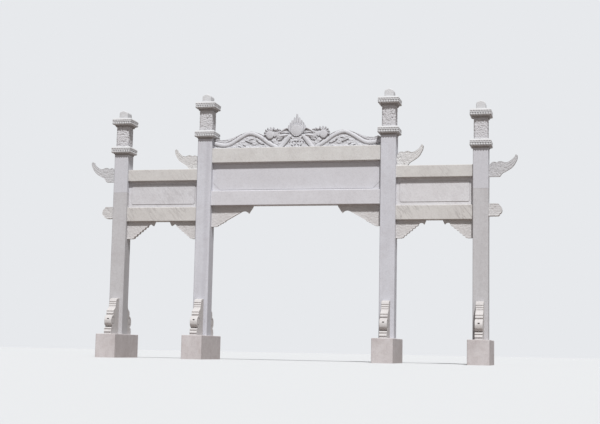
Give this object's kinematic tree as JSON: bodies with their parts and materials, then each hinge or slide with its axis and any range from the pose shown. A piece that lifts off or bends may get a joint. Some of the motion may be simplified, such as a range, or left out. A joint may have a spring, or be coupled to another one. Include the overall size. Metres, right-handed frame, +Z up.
{
  "type": "stone memorial gateway",
  "caption": "Pale stone memorial gateway: square columns rising above the beams of its bays, with moulded collars, carved cloud blocks, scroll stones and a carved crest.",
  "frame": {"origin": "middle of the gateway on the ground, under the middle bay", "axes": "+X along the gateway to the right seen from the front, +Y to the back, +Z up"},
  "size_m": [13.0134, 1.88, 8],
  "materials": {
    "smooth_stone": "smooth, slightly cool grey",
    "honed_stone": "honed, slightly warm grey",
    "carved_stone": "cut mouldings, matt",
    "rough_carved_stone": "carved and point-chiselled, matt"
  },
  "bodies": {
    "root": {"base_outer_left": "honed_stone", "column_outer_left": "smooth_stone", "scroll_stones_outer_left": "carved_stone", "collar_outer_left": "carved_stone", "cloud_block_outer_left": "rough_carved_stone", "cap_outer_left": "carved_stone", "base_inner_left": "honed_stone", "column_inner_left": "smooth_stone", "scroll_stones_inner_left": "carved_stone", "collar_inner_left": "carved_stone", "cloud_block_inner_left": "rough_carved_stone", "cap_inner_left": "carved_stone", "base_inner_right": "honed_stone", "column_inner_right": "smooth_stone", "scroll_stones_inner_right": "carved_stone", "collar_inner_right": "carved_stone", "cloud_block_inner_right": "rough_carved_stone", "cap_inner_right": "carved_stone", "base_outer_right": "honed_stone", "column_outer_right": "smooth_stone", "scroll_stones_outer_right": "carved_stone", "collar_outer_right": "carved_stone", "cloud_block_outer_right": "rough_carved_stone", "cap_outer_right": "carved_stone", "beam_middle_upper": "honed_stone", "beam_middle_lower": "honed_stone", "panel_middle": "smooth_stone", "brackets_middle": "carved_stone", "beam_left_upper": "honed_stone", "beam_left_lower": "honed_stone", "panel_left": "smooth_stone", "brackets_left": "carved_stone", "beam_right_upper": "honed_stone", "beam_right_lower": "honed_stone", "panel_right": "smooth_stone", "brackets_right": "carved_stone", "ears_outer": "rough_carved_stone", "ears_inner": "rough_carved_stone", "beam_ends": "honed_stone", "crest_left": "rough_carved_stone", "crest_right": "rough_carved_stone", "crest_pearl": "rough_carved_stone"}
  },
  "joints": []
}
